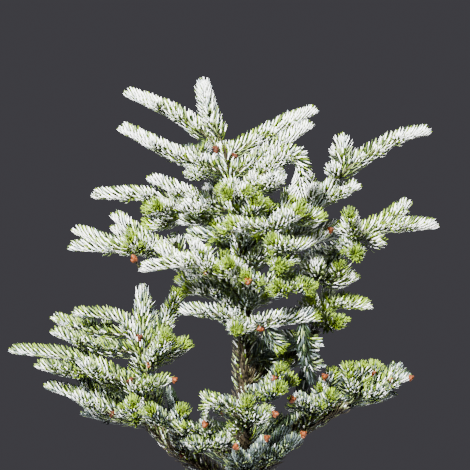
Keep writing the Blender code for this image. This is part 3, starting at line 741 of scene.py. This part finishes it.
# pixels of the photograph where a shoot's tip is young and green
greenPlaces = (
    (224, 197), (256, 197), (304, 209), (327, 215), (350, 217), (355, 256), (222, 223), (221, 248),
    (268, 241), (226, 264), (241, 274), (283, 270), (273, 288), (313, 291), (234, 331), (320, 316),
    (345, 325), (165, 335), (190, 345), (131, 402), (146, 408), (179, 416), (248, 398), (283, 368),
    (283, 386), (328, 394), (348, 361), (355, 360), (372, 372), (154, 205), (130, 238), (207, 245),
    (180, 292),
)


def shootFrame(points):
    # at each point the direction, the side turned most upwards and the one across
    run = np.gradient(np.array(points), axis=0)
    ahead = run / np.linalg.norm(run, axis=1)[:, None]
    upright = np.array((0.0, 0.0, 1.0)) - ahead * ahead[:, 2:3]
    level = np.linalg.norm(upright, axis=1)
    # on a shoot that stands upright the side is taken from the front
    least, span = 0.15, 0.25
    front = np.array((0.0, -1.0, 0.0)) - ahead * -ahead[:, 1:2]
    blend = np.clip((level - least) / span, 0.0, 1.0)[:, None]
    above = upright / np.maximum(level, 1e-6)[:, None] * blend + front * (1 - blend)
    above -= ahead * (above * ahead).sum(axis=1)[:, None]
    above /= np.linalg.norm(above, axis=1)[:, None]
    return ahead, above, np.cross(ahead, above)


def unit(rows):
    return rows / np.maximum(np.linalg.norm(rows, axis=1), 1e-9)[:, None]


def needleTemplate():
    # faces of one needle, with rings of three corners: two edges of the inner face, then the outer ridge
    count = needleLook["segments"]
    faces, kinds = [], []
    for i in range(count):
        low, high = i * 3, i * 3 + 3
        for a, b, outer in ((0, 1, False), (1, 2, True), (2, 0, True)):
            faces += [(low + a, low + b, high + b), (low + a, high + b, high + a)]
            kinds += [min(i + 1, 3) if outer else 0] * 2
    faces += [(2, 1, 0), (count * 3, count * 3 + 1, count * 3 + 2)]
    kinds += [0, 3]
    return np.array(faces), np.array(kinds)


needleFaces, needleKinds = needleTemplate()


def needleSpots(whole, look):
    # places of needles along a shoot, closer together towards its tip
    marks = np.linspace(look["first"], whole - look["tipStop"], 200)
    few, many = look["perMm"]
    thick = few + (many - few) * np.clip(marks / whole * look["dense"][0] - look["dense"][1], 0.0, 1.0)
    grown = np.concatenate(((0.0,), np.cumsum((thick[1:] + thick[:-1]) * 0.5 * np.diff(marks))))
    count = max(look["fewest"], int(grown[-1]))
    return np.interp((np.arange(count) + 0.5) / count * grown[-1], grown, marks)


def needleRings(path, axis, begin, inner, curl, slim, look):
    # three corners at each point of every needle's path: two edges and the ridge on the outer face
    ends = np.arange(look["segments"] + 1) / look["segments"]
    bend = curl[:, None] * ends[None] ** look["bend"]
    inward = inner[:, None] * np.cos(bend)[..., None] - begin[:, None] * np.sin(bend)[..., None]
    shape = np.array(look["widths"])[None, :, None]
    edge = axis[:, None] * shape * slim[:, None, None]
    ridge = inward * shape * look["ridge"]
    rings = np.stack((path + edge + ridge * 0.25, path - edge + ridge * 0.25, path - ridge * 0.75), axis=2)
    return rings.reshape(len(path), -1, 3)


def needlesOf(shoot, seed, look):
    # corners of all the needles on one shoot; their shares along it, distances from its tip and turns upwards
    owner, line, radius, girth = shoot
    dice = np.random.default_rng(seed)
    at, points = np.array(lengthsAlong(line)), np.array(line)
    whole, shake = at[-1], look["shake"]
    rooms = space.room(line, owner) + look["crowd"]
    rooms = np.minimum(rooms, points[:, 2] - growth["lowest"] + look["low"])
    spot = needleSpots(whole, look)
    count, share, toTip = len(spot), spot / whole, whole - spot
    thickness = np.interp(spot, at, np.broadcast_to(radius, at.shape))

    def between(name):
        atFoot, atTip = look[name]
        return atFoot + (atTip - atFoot) * np.clip(share * 1.5 - 0.25, 0.0, 1.0)

    turn = np.radians(dice.uniform(0, 360) + np.arange(count) * look["turn"] + dice.normal(0, shake, count))
    ahead, above, across = shootFrame(line)

    def along(rows):
        return np.stack([np.interp(spot, at, rows[:, k]) for k in range(3)], axis=1)

    centre, ahead, above, across = along(points), unit(along(ahead)), unit(along(above)), unit(along(across))
    level = np.clip(np.sqrt(1.0 - ahead[:, 2] ** 2) * 1.4 - 0.4, 0.0, 1.0)
    young = np.clip(1.0 - toTip / look["young"], 0.0, 1.0)
    down = np.clip(-np.cos(turn), 0.0, 1.0) * level
    out = above * np.cos(turn)[:, None] + across * np.sin(turn)[:, None]
    lean = between("lean") + dice.normal(0, shake * look["leanShake"], count) + young * look["youngLean"]
    lean = np.radians(lean)[:, None]
    begin = unit(out * np.cos(lean) + ahead * np.sin(lean))
    # where the needle bends to: up, on towards the tip, and out where the shoot stands upright
    lift = level * (1.0 - 0.5 * young) * (1.0 - 0.3 * down)
    onward = between("targetForward") + 0.5 * young + 0.15 * (1.0 - level)
    aside = dice.normal(0, shake * look["asideShake"], count)
    pull = look["pull"] - look["upFlare"] * (1.0 - level)
    aim = above * lift[:, None] + ahead * onward[:, None] + across * aside[:, None] - out * pull[:, None]
    aim = unit(aim)
    axis = np.cross(begin, aim)
    flat = np.linalg.norm(axis, axis=1) < 0.2
    axis[flat] = across[flat] * np.where(dice.random(flat.sum()) < 0.5, 1, -1)[:, None] + ahead[flat] * 0.4
    axis -= begin * (axis * begin).sum(axis=1)[:, None]
    axis = unit(axis)
    inner = np.cross(axis, begin)
    apart = np.arccos(np.clip((begin * aim).sum(axis=1), -1, 1))
    curl = (apart * between("curlShare") + np.radians(between("curlMore"))) * (1.0 - 0.5 * young)
    curl = np.clip(curl + np.radians(dice.normal(0, shake, count)), *look["curlRange"])
    segments = look["segments"]
    bend = curl[:, None] * ((np.arange(segments) + 0.5) / segments)[None] ** look["bend"]
    step = begin[:, None] * np.cos(bend)[..., None] + inner[:, None] * np.sin(bend)[..., None]
    path = np.concatenate((np.zeros((count, 1, 3)), np.cumsum(step, axis=1) / segments), axis=1)
    forward = (path * ahead[:, None]).sum(axis=2)
    off = np.linalg.norm(path - forward[..., None] * ahead[:, None], axis=2).max(axis=1)
    forward = forward[:, -1]
    # a needle ends at the outline that the shoot has where the needle's tip comes
    endAt = np.array(growth["swellAt"] + (1.0 + look["beyond"] / whole,))
    length = between("length") * dice.uniform(0.94, 1.04, count)
    for _ in range(3):
        tip = spot + forward * length
        reach = np.minimum(girth * np.interp(tip / whole, endAt, look["endSwell"]), np.interp(tip, at, rooms))
        length = np.minimum(length, (reach - thickness * look["sink"]) / np.maximum(off, 0.2) * 1.03)
        length = np.minimum(length, (toTip + look["beyond"]) / np.maximum(forward, 0.3))
        length = np.maximum(length, look["least"])
    length = np.maximum(length * dice.uniform(0.94, 1.03, count), look["least"])
    path = (centre + out * (thickness * look["sink"])[:, None])[:, None] + path * length[:, None, None]
    short, thinnest = look["slimUnder"]
    slim = np.clip(length / short, thinnest, 1.0) * dice.uniform(0.9, 1.1, count) * between("width") * 0.5
    corners = needleRings(path, axis, begin, inner, curl, slim, look)
    return corners, share, toTip, np.cos(turn) * level, dice


def isGreen(shoot):
    tip = pixelOf(shoot[1][-1])
    return any(math.dist(tip[:2], place) < shootLook["greenWithin"] for place in greenPlaces)


def riseOf(shoot):
    return (shoot[1][-1] - shoot[1][0]).normalized().z


def lookOf(shoot, green, finer):
    if green or finer:
        return openLook if green else fineLook
    rise = riseOf(shoot)
    if rise > shootLook["steepRise"] and shoot[0] in shootLook["flame"]:
        return flameLook
    if rise < -shootLook["hangRise"]:
        return hangLook
    return crownLook if shoot[0] in shootLook["crown"] else needleLook


# how much painted shade each mass's needle tints carry, for where it stands in the shade of its own plant
shadeShares = {
    "shade_right": 0.95, "back_low_right": 0.92, "belt_right": 0.4, "belt_left": 0.3, "front_base": 1.1,
    "east_front": 0.85, "east": 0.5, "east_inner": 0.65, "front_left": 0.55, "front_low": 0.4,
    "front_mid": 0.4, "front_high": 0.35, "back_east": 0.85, "back_low": 0.8, "back_low_left": 0.95,
    "west_inner": 0.85, "west_high": 0.45, "west_low": 0.45, "west_mid": 0.35, "back_top_right": 0.5,
    "left_mid": 0.15, "centre_right": 0.2, "front_mid_right": 0.2, "under_left": 0.2,
}
# painted shade of the back masses, of the others and of hanging shoots
usualShade = {"back": 0.36, "front": 0.04, "hanging": 0.95, "hangRise": 0.5}

# how much of each mass shows the green sides of its needles
greenShares = {
    "west_high": 0.55, "west_mid": 0.55, "west_low": 0.4, "west_inner": 0.35, "east": 0.4, "east_inner": 0.4,
    "east_front": 0.25, "right_low": 0.6, "right_under": 0.45, "right_mid": 0.2, "front_low": 0.5,
    "front_left": 0.5, "front_base": 0.25, "front_mid": 0.45, "front_mid_right": 0.38, "front_mid_left": 0.45,
    "front_high": 0.25, "centre_right": 0.25, "left_mid": 0.2, "left_mid_front": 0.25, "under_left": 0.15,
    "belt_left": 0.12, "arch": 0.1, "leader": 0.02, "top_left": 0.2, "top_left_low": 0.15, "back_low": 0.35,
}
usualGreen = 0.08

# how far from a tip needles are fresh, on usual and on green shoots, and how often a tint is dealt
tintOdds = {
    "freshWithin": (1.0, 13.0), "freshShake": (0.7, 1.3), "deep": 0.3, "mid": 0.65, "grey": 0.10, "lit": 0.15,
    "wan": 0.6, "side": 0.45, "top": 1.5, "freshOuter": 0.9, "freshInner": 0.6, "second": 1.3, "third": 1.25,
    "oldUnder": 400.0, "oldSpan": 90.0, "oldMost": 0.85,
}


def shadeOf(shoot):
    # a shoot that hangs is in the shade of what carries it, painted into its needle tints
    if riseOf(shoot) < -usualShade["hangRise"]:
        return usualShade["hanging"]
    return shadeShares.get(shoot[0], usualShade["back" if shoot[0].startswith("back") else "front"])


def dealer(dice, count):
    def dealt(odds, chosen, other):
        return np.where(dice.random(count) < odds, chosen, other)

    return dealt


def tintsOf(green, share, toTip, top, dice, shade, leafy):
    # tints of each needle of a shoot: its inner face, then its outer face from foot to tip
    # leafy is how much of its green sides the mass shows
    odds, count = tintOdds, len(toTip)
    deep, mid, yellow, pale, grey, wan, paintedShadeTint = range(7)
    dealt = dealer(dice, count)
    fresh = toTip < odds["freshWithin"][green] * dice.uniform(*odds["freshShake"], count)
    # shade is painted shade: it deals deep green inner faces, grey wax and the dark slate wax in place of lit
    # tints
    inner = dealt(odds["deep"] + shade - leafy * 0.4, deep, dealt(odds["mid"] - leafy * 0.4, mid, yellow))
    outer = dealt(odds["grey"] + shade * 0.4, grey, pale)
    outer = dealt(shade - odds["lit"], paintedShadeTint, outer)
    outer = dealt(odds["wan"] - share * 1.1, wan, outer)
    # the needles along a shoot's top edge turn their green sides out
    turned = leafy * (odds["side"] + odds["top"] * np.clip(top, 0.0, 1.0))
    outer = dealt(turned, dealt(0.5, wan, inner), outer)
    outer = np.where(fresh, dealt(odds["freshOuter"], yellow, wan), outer)
    inner = np.where(fresh, dealt(odds["freshInner"], mid, yellow), inner)
    # in shade the wan tint gives way to painted shade; towards the shoot's foot the green runs further up
    # each needle
    wan = dealt(shade, paintedShadeTint, wan)
    second = dealt(odds["second"] - share * 0.6, inner, wan)
    third = dealt((odds["third"] - share * 1.1) * (0.5 + min(leafy, 0.5)), dealt(0.6, inner, wan), outer)
    return np.stack((inner, second, third, outer), axis=1)


def oldTints(heights, dice):
    # needles on the trunk and boughs: green above, olive and tan lower down
    odds, dealt = tintOdds, dealer(dice, len(heights))
    mid, yellow, pale, grey, wan, _, brown, tan = range(1, 9)
    aged = dealt(np.clip((odds["oldUnder"] - heights) / odds["oldSpan"], 0.0, odds["oldMost"]), True, False)
    inner = np.where(aged, brown, dealt(0.5, mid, yellow))
    outer = np.where(aged, dealt(0.85, tan, wan), dealt(0.5, pale, grey))
    second = dealt(0.8, inner, wan)
    third = dealt(0.5, second, outer)
    return np.stack((inner, second, third, outer), axis=1)


# which masses share a piece of needles
regions = {
    "back_top": ("back_top_right", "back_top_left", "back_shoulder"),
    "back_high": ("back_mid", "back_mid_right", "back_mid_left"),
    "back_low": ("back_low", "back_low_left"),
    "back_right": ("back_low_right", "back_east"),
    "crown": (
        "leader", "top_left", "top_right", "top_left_low", "top_right_low", "top_front", "arch",
        "shoulder_left",
    ),
    "right": (
        "right_high", "inner_right", "centre_right", "right_mid", "right_under", "belt_right", "right_low",
    ),
    "left": ("left_high", "left_mid", "left_mid_front", "under_left", "belt_left"),
    "middle": ("front_high", "front_mid_right", "front_mid_left", "front_mid", "shade_right"),
    "west": ("west_low", "west_mid", "west_high", "west_inner"),
    "low": ("front_low", "front_left", "front_base", "east_front"),
    "east": ("east", "east_inner"),
}


def regionOf(name):
    return next(region for region, names in regions.items() if name in names)


def needlePiece(region, parts, replaced):
    # one piece from (corners, tints) of many shoots
    corners = np.concatenate([p[0] for p in parts])
    tints = np.concatenate([p[1] for p in parts])
    count, each = corners.shape[:2]
    faces = (needleFaces[None] + (np.arange(count) * each)[:, None, None]).reshape(-1, 3)
    mesh = meshFromArrays("needles_" + region, corners.reshape(-1, 3), faces, tints.ravel())
    keepPiece("needles_" + region, mesh, needleFinishes, replaced)
    print("needles", region, count, "needles", len(faces), "triangles")
    return len(faces)


def buildNeedles():
    grown, replaced = {}, {}
    for index, shoot in enumerate(shoots + fine):
        green = isGreen(shoot)
        look = lookOf(shoot, green, index >= len(shoots))
        corners, share, toTip, top, dice = needlesOf(shoot, shootLook["seed"] + index, look)
        leafy = greenShares.get(shoot[0], usualGreen)
        tints = tintsOf(green, share, toTip, top, dice, shadeOf(shoot), leafy)[:, needleKinds]
        region = regionOf(shoot[0])
        grown.setdefault(region, []).append((corners, tints))
        replaced.setdefault(region, set()).add("mass_" + shoot[0])
    total = sum(needlePiece(region, parts, sorted(replaced[region])) for region, parts in grown.items())
    print("needles in all:", total, "triangles")


def limbShoots():
    # the upper trunk and every bough as shoots of their own
    line, radii = resampled(*trunkRun(), growth["station"])
    tall = [(point, radius) for point, radius in zip(line, radii) if point.z > shootLook["limbFrom"]]
    runs = [("trunk", [point for point, _ in tall], [radius for _, radius in tall])]
    runs += [("bough_" + name, *boughRun(name)) for name in boughPlan]
    return [(*run, shootLook["limbGirth"]) for run in runs]


def buildLimbNeedles():
    parts = []
    for index, shoot in enumerate(limbShoots()):
        corners, _, _, _, dice = needlesOf(shoot, shootLook["limbSeed"] + index, limbLook)
        parts.append((corners, oldTints(corners[:, 0, 2], dice)[:, needleKinds]))
    needlePiece("limbs", parts, ())


buildNeedles()
buildLimbNeedles()


# twigs, each a little shorter than its needles
twigLook = {"taper": 0.35, "short": 0.6, "sides": 6}


def buildTwigs():
    look, runs = twigLook, []
    for _, line, radius, _ in shoots + fine:
        radii = [radius * (1.0 - look["taper"] * i / (len(line) - 1)) for i in range(len(line))]
        runs.append((line[:-1] + [line[-1] - (line[-1] - line[-2]) * look["short"]], radii))
    keepPiece("twigs", tubeMesh("twigs", runs, look["sides"]), [twigFinish])
    print("twigs:", len(runs))


buildTwigs()

# buds: where the photograph shows them, on a short stalk from the nearest shoot
budPlaces = (
    (331, 230), (206, 272), (248, 282), (260, 329), (134, 258), (175, 380), (131, 380), (149, 366),
    (140, 337), (112, 414), (205, 425), (223, 413), (182, 455), (236, 446), (267, 438), (274, 379),
    (276, 414), (292, 400), (300, 421), (304, 434), (325, 377), (374, 373), (391, 380), (411, 378),
    (216, 150), (235, 156),
)
driedBuds = {(216, 150), (235, 156), (131, 380), (112, 414), (140, 337), (182, 455), (300, 421)}
budLook = {
    "radius": (2.5, 3.1), "side": 0.68, "sideShake": (0.8, 1.1), "sideTurns": (0.6, 2.9, 4.6),
    "sideLean": 0.75, "sideLow": 0.6, "long": 1.4, "pointed": 0.25, "stalk": (1.2, 1.0, 1.0),
    "stalkRadius": 0.9, "front": 6.0, "near": 4.0, "scales": 0.14, "rows": 5, "round": 5, "sides": 10,
    "seed": 41,
}


def placeOfPixel(place, deep):
    ahead, side = heading(90, -photoCamera["elevation"]), Vector((1, 0, 0))
    over = (place[0] - photoCamera["half"]) * deep / photoCamera["focal"]
    up = (photoCamera["half"] - place[1]) * deep / photoCamera["focal"]
    return cameraPlace() + ahead * deep + side * over + side.cross(ahead) * up


def budCarrier(place):
    # the frontmost point of the shoots' lines among those nearest to the pixel
    found = []
    for _, line, _, _ in shoots:
        for point in line[1:]:
            x, y, deep = pixelOf(point)
            found.append((math.dist((x, y), place), deep, point))
    least = min(f[0] for f in found)
    return min((f for f in found if f[0] < least + budLook["near"]), key=lambda f: f[1])


def budShape(mesh, place, along, radius, dried):
    # an egg of overlapping scales: rows that step in and out round a pointed body
    look = budLook
    rings = look["rows"] * 2 + 1
    ball = bmesh.ops.create_uvsphere(mesh, u_segments=look["sides"], v_segments=rings, radius=1.0)["verts"]
    turn = along.to_track_quat("Z", "Y")
    for vertex in ball:
        low = math.acos(max(-1.0, min(1.0, vertex.co.z))) / math.pi
        angle = math.atan2(vertex.co.y, vertex.co.x) * look["round"] + (round(low * rings) % 2) * math.pi
        push = 1.0 + look["scales"] * math.cos(angle) * math.sin(low * math.pi)
        slim = 1.0 if vertex.co.z < 0 else 1.0 - look["pointed"] * vertex.co.z
        spot = Vector((vertex.co.x * push * slim, vertex.co.y * push * slim, vertex.co.z * look["long"]))
        vertex.co = (place + turn @ (spot * radius)) * mm
    for face in {face for vertex in ball for face in vertex.link_faces}:
        face.material_index = dried
        face.smooth = True


def buildBuds():
    # each is a large bud with smaller ones round its foot
    look, dice, stalks = budLook, random.Random(budLook["seed"]), []
    mesh = bmesh.new()
    for place in budPlaces:
        _, deep, foot = budCarrier(place)
        radius = dice.uniform(*look["radius"])
        spot = placeOfPixel(place, deep - look["front"])
        along = (spot - foot).normalized()
        dried = int(place in driedBuds)
        budShape(mesh, spot, along, radius, dried)
        across = along.orthogonal().normalized()
        for turn in look["sideTurns"]:
            off = (across * math.cos(turn) + along.cross(across) * math.sin(turn)) * look["sideLean"]
            small = radius * look["side"] * dice.uniform(*look["sideShake"])
            seat = spot + (off - along * look["sideLow"]) * radius
            budShape(mesh, seat, (along + off).normalized(), small, dried)
        radii = [look["stalkRadius"] * share for share in look["stalk"]]
        stalks.append(([foot, foot.lerp(spot, 0.5), spot], radii))
    keepPiece("buds", finishedMesh("buds", mesh), [budFinish, oldBudFinish])
    keepPiece("bud_stalks", tubeMesh("budStalks", stalks, twigLook["sides"]), [twigFinish])
    print("buds:", len(budPlaces))


buildBuds()

# the pot as a smooth turned piece with moulded bands: heights and radii in millimetres
potLook = {
    "height": 165.0, "top": 95.0, "foot": 73.0, "wall": 2.2, "floor": 2.6, "rim": 14.0, "rimOut": 3.0,
    "round": 0.8, "chamfer": 2.0, "bands": (132.0, 124.0, 30.0), "bandOut": 0.5, "bandHigh": 3.0, "sides": 96,
    "sharp": 38.0,
}


def potRadius(height):
    return potLook["foot"] + (potLook["top"] - potLook["foot"]) * height / potLook["height"]


def potProfile():
    # from the middle of the floor up the inside, over the rim and down the outside
    look = potLook
    high, small = look["height"], look["round"]
    inside, edge, under = potRadius(high) - look["wall"], potRadius(high) + look["rimOut"], high - look["rim"]
    lip = potRadius(under) + look["rimOut"]
    turns = [math.radians(step) for step in (0, 30, 60, 90)]
    line = [(0.0, look["floor"]), (potRadius(look["floor"]) - look["wall"], look["floor"])]
    line += [(inside + small * (1 - math.cos(t)), high - small * (1 - math.sin(t))) for t in turns]
    line += [(edge - small * (1 - math.sin(t)), high - small * (1 - math.cos(t))) for t in turns]
    line += [(lip, under + small), (lip - small, under), (potRadius(under), under)]
    for band in look["bands"]:
        out, low = look["bandOut"], band - look["bandHigh"]
        line += [(potRadius(band), band), (potRadius(band) + out, band - out)]
        line += [(potRadius(low) + out, low + out), (potRadius(low), low)]
    chamfer = look["chamfer"]
    return line + [(potRadius(chamfer), chamfer), (look["foot"] - chamfer, 0.0), (0.0, 0.0)]


def buildPot():
    shape = bmesh.new()
    corners = [shape.verts.new((radius * mm, 0.0, height * mm)) for radius, height in potProfile()]
    edges = [shape.edges.new(pair) for pair in zip(corners, corners[1:])]
    bmesh.ops.spin(
        shape, geom=corners + edges, cent=(0, 0, 0), axis=(0, 0, 1), dvec=(0, 0, 0), angle=2 * math.pi,
        steps=potLook["sides"], use_merge=True,
    )
    smoothOut(shape, 0.01 * mm)
    mesh = finishedMesh("potWall", shape)
    mesh.set_sharp_from_angle(angle=math.radians(potLook["sharp"]))
    keepPiece("pot_wall", mesh, [potFinish], ["pot"])
    print("pot:", len(mesh.polygons), "faces")


buildPot()

# the compost keeps its solid; chips of bark lie on it
chipLook = {
    "count": 420, "ring": (14.0, 84.0), "long": (3.0, 9.0), "wide": (2.0, 5.0), "thick": (0.8, 2.0),
    "worn": (0.65, 1.0), "tilt": 0.22, "top": 150.0, "sunk": 0.3, "seed": 77,
}


def buildChips():
    look, dice = chipLook, np.random.default_rng(chipLook["seed"])
    count = look["count"]
    turn = dice.uniform(0, 2 * math.pi, count)
    away = np.sqrt(dice.uniform(look["ring"][0] ** 2, look["ring"][1] ** 2, count))
    half = np.stack([dice.uniform(*look[k], count) * 0.5 for k in ("long", "wide", "thick")], axis=1)
    signs = np.array([(x, y, z) for z in (-1, 1) for y in (-1, 1) for x in (-1, 1)])
    corners = signs[None] * half[:, None] * dice.uniform(*look["worn"], (count, 8, 3))
    spin = dice.uniform(0, 2 * math.pi, count)[:, None]
    tilt = dice.normal(0, look["tilt"], count)[:, None]
    x, y, z = corners[..., 0], corners[..., 1], corners[..., 2]
    x, z = x * np.cos(tilt) - z * np.sin(tilt), x * np.sin(tilt) + z * np.cos(tilt)
    x, y = x * np.cos(spin) - y * np.sin(spin), x * np.sin(spin) + y * np.cos(spin)
    x, y = x + (away * np.cos(turn))[:, None], y + (away * np.sin(turn))[:, None]
    z = z - z.min(axis=1)[:, None] + look["top"] - look["sunk"]
    corners = np.stack((x, y, z), axis=2)
    quads = np.array(((0, 2, 3, 1), (4, 5, 7, 6), (0, 1, 5, 4), (2, 6, 7, 3), (0, 4, 6, 2), (1, 3, 7, 5)))
    faces = (quads[None] + (np.arange(count) * 8)[:, None, None]).reshape(-1, 4)
    mesh = meshFromArrays("barkChips", corners.reshape(-1, 3), faces)
    keepPiece("bark_chips", mesh, [chipFinish])
    print("chips:", count)


buildChips()
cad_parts["compost"].material_slots[0].material = soilFinish

# floor, lights and camera: metres, and lights of (name, place, size, power)
stageLook = {
    "floor": 0.55, "tint": (0.42, 0.415, 0.405), "world": (0.055, 0.053, 0.062), "aim": (0.0, 0.0, 0.4),
    "lights": (
        ("key", (-0.75, -1.45, 1.95), 0.4, 560.0), ("fill", (1.5, -1.2, 1.0), 1.4, 7.0),
        ("rim", (0.6, 1.5, 1.6), 1.0, 14.0),
    ),
}


def buildStage():
    shape = bmesh.new()
    bmesh.ops.create_circle(shape, cap_ends=True, segments=96, radius=stageLook["floor"])
    mesh = finishedMesh("floor", shape)
    mesh.materials.append(newMaterial("paleFloor", stageLook["tint"], 0.8))
    linked("floor", mesh)
    world = bpy.data.worlds.new("studio")
    world.use_nodes = True
    world.node_tree.nodes["Background"].inputs["Color"].default_value = (*stageLook["world"], 1.0)
    world.node_tree.nodes["Background"].inputs["Strength"].default_value = 1.0
    bpy.context.scene.world = world
    for name, place, size, power in stageLook["lights"]:
        light = bpy.data.lights.new(name, "AREA")
        light.shape, light.size, light.energy = "DISK", size, power
        lamp = linked(name, light)
        lamp.location = place
        lamp.rotation_euler = (Vector(stageLook["aim"]) - Vector(place)).to_track_quat("-Z", "Y").to_euler()
    lens = bpy.data.cameras.new("photoView")
    lens.sensor_width = 36.0
    lens.lens = lens.sensor_width * photoCamera["focal"] / (2 * photoCamera["half"])
    camera = linked("photoView", lens)
    camera.location = cameraPlace() * mm
    camera.rotation_euler = heading(90, -photoCamera["elevation"]).to_track_quat("-Z", "Y").to_euler()
    bpy.context.scene.camera = camera


buildStage()
print("stage: floor, lights and camera")
